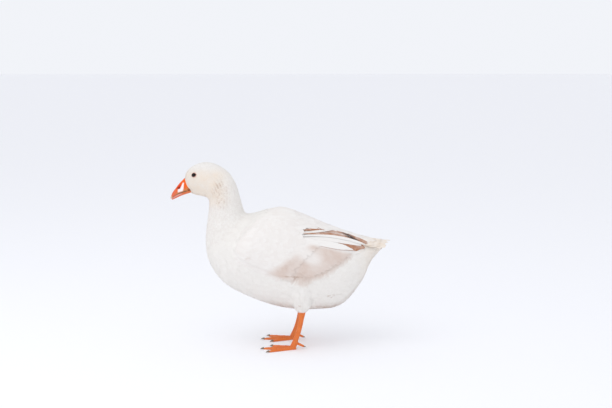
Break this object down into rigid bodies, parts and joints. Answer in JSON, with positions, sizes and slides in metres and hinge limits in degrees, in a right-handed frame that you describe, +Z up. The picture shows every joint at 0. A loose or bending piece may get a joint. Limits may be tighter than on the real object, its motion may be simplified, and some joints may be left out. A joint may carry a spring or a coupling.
{
  "type": "domestic goose",
  "caption": "White domestic goose standing on webbed feet with its neck drawn in, wings folded and bill held down; a still, life-size model.",
  "frame": {"origin": "on the floor, under the middle of the bird's bounding box", "axes": "+Z up, the bill points along -Y, the bird's left side is +X"},
  "size_m": [0.2388, 0.6269, 0.5291],
  "materials": {
    "plumage": "soft white body feathers, slightly soiled on the belly",
    "quills": "long white wing quills with a faint silky sheen and brown-stained edges",
    "bill": "smooth orange horn, moist gloss",
    "nail": "pale pinkish horn",
    "eye": "dark wet eye",
    "leg": "orange scaly skin",
    "claw": "horn"
  },
  "bodies": {
    "root": {"bill_lower": "bill", "bill_nail": "nail", "bill_upper": "bill", "claw_left_hind": "claw", "claw_left_inner": "claw", "claw_left_middle": "claw", "claw_left_outer": "claw", "claw_right_hind": "claw", "claw_right_inner": "claw", "claw_right_middle": "claw", "claw_right_outer": "claw", "eye_left": "eye", "eye_right": "eye", "flight_feathers_left": "quills", "flight_feathers_right": "quills", "foot_left": "leg", "foot_right": "leg", "head": "plumage", "hind_toe_left": "leg", "hind_toe_right": "leg", "neck": "plumage", "shank_left": "leg", "shank_right": "leg", "tail": "plumage", "thigh_left": "plumage", "thigh_right": "plumage", "trunk": "plumage", "wing_left": "plumage", "wing_right": "plumage"}
  },
  "joints": []
}
